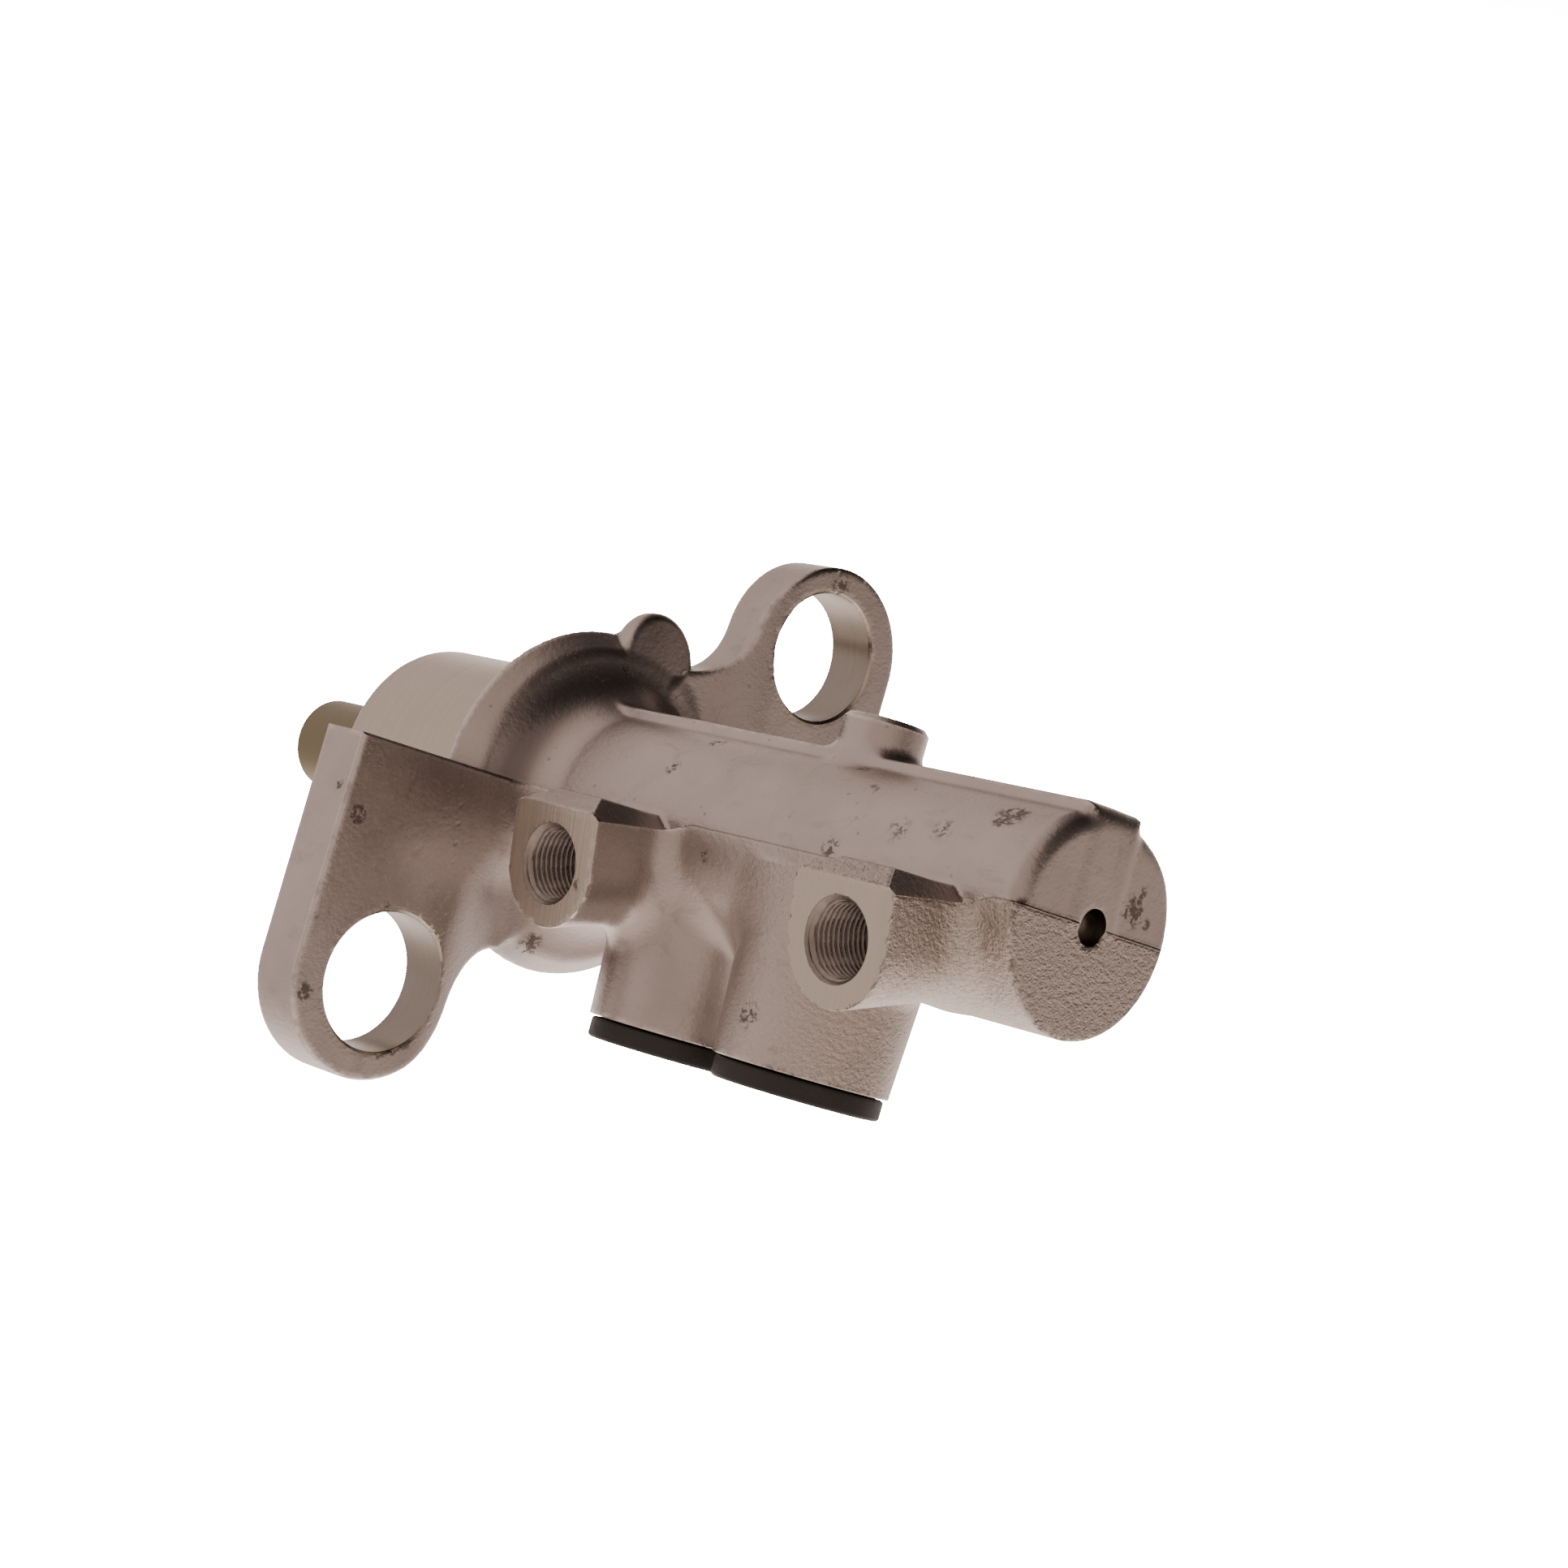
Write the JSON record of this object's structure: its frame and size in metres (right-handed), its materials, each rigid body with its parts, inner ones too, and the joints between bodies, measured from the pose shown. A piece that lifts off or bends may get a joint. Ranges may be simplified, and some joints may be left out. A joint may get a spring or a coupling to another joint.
{
  "type": "tandem brake master cylinder",
  "caption": "Tandem brake master cylinder: cast body with eared flange, side outlet ports, reservoir grommets and spring-returned pistons.",
  "frame": {"origin": "on the bore's axis, in the plane of the flange's back face", "axes": "+X along the bore towards the closed end, +Y the side of the outlet ports, +Z the side of the reservoir grommets"},
  "size_m": [0.1902, 0.1076, 0.1064],
  "materials": {
    "cast_aluminium": "die cast, machined on its faces and in its bores",
    "black_rubber": "matte",
    "hard_anodised": "olive-brown hard anodised, ground",
    "plated_steel": "zinc plated",
    "spring_steel": "drawn wire",
    "nylon": "moulded"
  },
  "bodies": {
    "housing": {"housing": "cast_aluminium", "primary_grommet": "black_rubber", "secondary_grommet": "black_rubber", "circlip": "plated_steel", "guide_ring": "nylon", "guide_o_ring": "black_rubber", "stem_seal": "black_rubber", "stop_washer": "plated_steel", "secondary_spring": "spring_steel", "secondary_spring_seat": "plated_steel"},
    "primary": {"primary_piston": "hard_anodised", "primary_rear_seal": "black_rubber", "primary_cup_washer": "plated_steel", "primary_cup": "black_rubber", "primary_cup_retainer": "plated_steel", "spring_limit_screw": "plated_steel"},
    "secondary": {"secondary_piston": "hard_anodised", "separator_cup_rear": "black_rubber", "separator_cup_front": "black_rubber", "secondary_cup_washer": "plated_steel", "secondary_cup": "black_rubber", "secondary_cup_retainer": "plated_steel", "spring_sleeve": "plated_steel", "primary_spring": "spring_steel"}
  },
  "joints": [
    {"name": "primary_slide", "type": "slide", "parent": "housing", "child": "primary", "axis": [1, 0, 0], "range_m": [0, 0.026], "stiffness_N_per_m": 3000, "springref_m": -0.03, "deforming": ["primary_spring"]},
    {"name": "secondary_slide", "type": "slide", "parent": "housing", "child": "secondary", "axis": [1, 0, 0], "range_m": [0, 0.013], "stiffness_N_per_m": 3000, "springref_m": -0.03, "deforming": ["secondary_spring"]}
  ],
  "couplings": [
    {"joint": "secondary_slide", "follows": "primary_slide", "ratio": 0.5}
  ]
}
